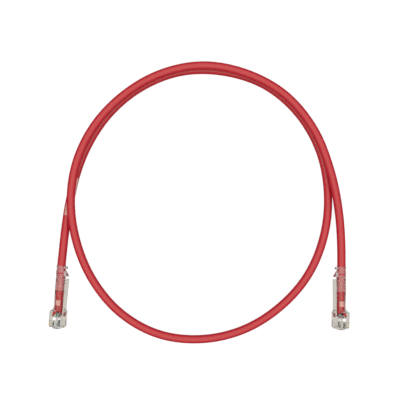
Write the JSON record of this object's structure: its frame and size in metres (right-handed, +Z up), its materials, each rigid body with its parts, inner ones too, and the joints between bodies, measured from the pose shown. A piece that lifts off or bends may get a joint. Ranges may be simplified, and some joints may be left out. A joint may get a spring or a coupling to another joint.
{
  "type": "ethernet patch cable",
  "caption": "Short red ethernet patch cable laid in a loose loop, with clear latched modular plugs and slotted clear strain reliefs.",
  "frame": {"origin": "on the surface that the cable lies on, at the middle of the box round the two plugs", "axes": "+X from the left plug to the right plug, +Y from the plugs' noses towards the loop, +Z up off the surface"},
  "size_m": [0.1992, 0.1874, 0.0133],
  "materials": {
    "jacket": "satin flexible PVC",
    "label": "matt self-laminating vinyl",
    "clear_plastic": "clear moulded polycarbonate",
    "clear_sleeve": "slightly milky clear plastic",
    "load_bar": "white moulded nylon",
    "crimp_bar": "pressed clear plastic, frosted",
    "contact": "gold plated phosphor bronze",
    "wire_white_green": "polyethylene insulation",
    "wire_green": "polyethylene insulation",
    "wire_white_orange": "polyethylene insulation",
    "wire_blue": "polyethylene insulation",
    "wire_white_blue": "polyethylene insulation",
    "wire_orange": "polyethylene insulation",
    "wire_white_brown": "polyethylene insulation",
    "wire_brown": "polyethylene insulation"
  },
  "bodies": {
    "cable": {"jacket": "jacket", "marker_label": "label", "wire_white_green": "wire_white_green", "wire_green": "wire_green", "wire_white_orange": "wire_white_orange", "wire_blue": "wire_blue", "wire_white_blue": "wire_white_blue", "wire_orange": "wire_orange", "wire_white_brown": "wire_white_brown", "wire_brown": "wire_brown", "left_plug_housing": "clear_plastic", "left_load_bar": "load_bar", "left_crimp_bars": "crimp_bar", "left_strain_relief": "clear_sleeve", "left_contact_1": "contact", "left_contact_2": "contact", "left_contact_3": "contact", "left_contact_4": "contact", "left_contact_5": "contact", "left_contact_6": "contact", "left_contact_7": "contact", "left_contact_8": "contact", "right_plug_housing": "clear_plastic", "right_load_bar": "load_bar", "right_crimp_bars": "crimp_bar", "right_strain_relief": "clear_sleeve", "right_contact_1": "contact", "right_contact_2": "contact", "right_contact_3": "contact", "right_contact_4": "contact", "right_contact_5": "contact", "right_contact_6": "contact", "right_contact_7": "contact", "right_contact_8": "contact"},
    "left_latch": {"left_latch": "clear_plastic"},
    "right_latch": {"right_latch": "clear_plastic"}
  },
  "joints": [
    {"name": "left_latch_press", "type": "hinge", "parent": "cable", "child": "left_latch", "pos_m": [-0.09046, -0.01834, 0.00832], "axis": [-0.4217, 0.028, 0.9063], "range_deg": [0, 2.2], "stiffness_Nm_per_rad": 0.5},
    {"name": "right_latch_press", "type": "hinge", "parent": "cable", "child": "right_latch", "pos_m": [0.09026, -0.01884, 0.00832], "axis": [-0.4226, 0.0074, -0.9063], "range_deg": [0, 2.2], "stiffness_Nm_per_rad": 0.5}
  ]
}
